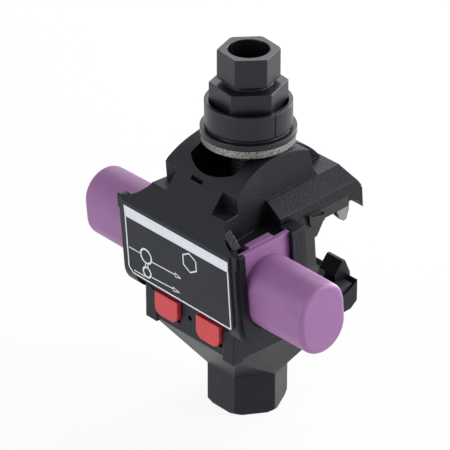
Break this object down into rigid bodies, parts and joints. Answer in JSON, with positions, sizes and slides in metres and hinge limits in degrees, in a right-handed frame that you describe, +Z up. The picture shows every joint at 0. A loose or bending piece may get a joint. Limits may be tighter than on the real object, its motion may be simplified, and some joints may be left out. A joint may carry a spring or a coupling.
{
  "type": "insulation piercing connector",
  "caption": "Insulation piercing tap connector: two toothed jaws drawn together on a bolt by a shear-head nut, with a capped tap channel and a side-opening main groove.",
  "frame": {"origin": "centre of the flat underside of the lower jaw's hex boss, on the bolt axis", "axes": "+Z up along the bolt, X along both cables, -Y the tap (label) side, +Y the main cable side"},
  "size_m": [0.0768, 0.045, 0.0931],
  "materials": {
    "black_nylon": "glass-filled nylon, matt moulded",
    "zinc_plated_steel": "dull zinc plate",
    "black_coated_metal": "black satin coat",
    "purple_elastomer": "satin purple elastomer",
    "tinned_contact": "dull tin plate",
    "black_rubber": "matt rubber",
    "red_plastic": "satin red plastic"
  },
  "bodies": {
    "base": {"lower_jaw": "black_nylon", "bolt": "zinc_plated_steel", "lower_blade_left": "tinned_contact", "lower_blade_right": "tinned_contact", "lower_main_seal": "black_rubber", "lower_tap_seal": "black_rubber", "left_plug": "red_plastic", "right_plug": "red_plastic"},
    "washer_body": {"washer": "zinc_plated_steel"},
    "nut_body": {"shear_nut": "black_coated_metal", "nut_collar": "black_nylon"},
    "jaw_body": {"upper_jaw": "black_nylon", "upper_blade_left": "tinned_contact", "upper_blade_right": "tinned_contact", "upper_main_seal": "black_rubber", "upper_tap_seal": "black_rubber"},
    "left_cap_body": {"left_cap": "purple_elastomer"},
    "right_cap_body": {"right_cap": "purple_elastomer"}
  },
  "joints": [
    {"name": "jaw_close", "type": "slide", "parent": "base", "child": "washer_body", "axis": [0, 0, -1], "range_m": [0, 0.008]},
    {"name": "nut_turn", "type": "hinge", "parent": "washer_body", "child": "nut_body", "pos_m": [0, 0, 0.08], "axis": [0, 0, -1], "range_deg": [0, 2304.1]},
    {"name": "jaw_rock", "type": "hinge", "parent": "washer_body", "child": "jaw_body", "pos_m": [0, 0, 0.0486], "axis": [1, 0, 0], "range_deg": [-9, 0]},
    {"name": "left_cap_lift", "type": "slide", "parent": "jaw_body", "child": "left_cap_body", "axis": [0, -0.0785, 0.9969], "range_m": [0, 0.022]},
    {"name": "right_cap_lift", "type": "slide", "parent": "jaw_body", "child": "right_cap_body", "axis": [0, -0.0785, 0.9969], "range_m": [0, 0.022]}
  ],
  "couplings": [
    {"joint": "nut_turn", "follows": "jaw_close", "rad_per_m": 5026.5}
  ]
}
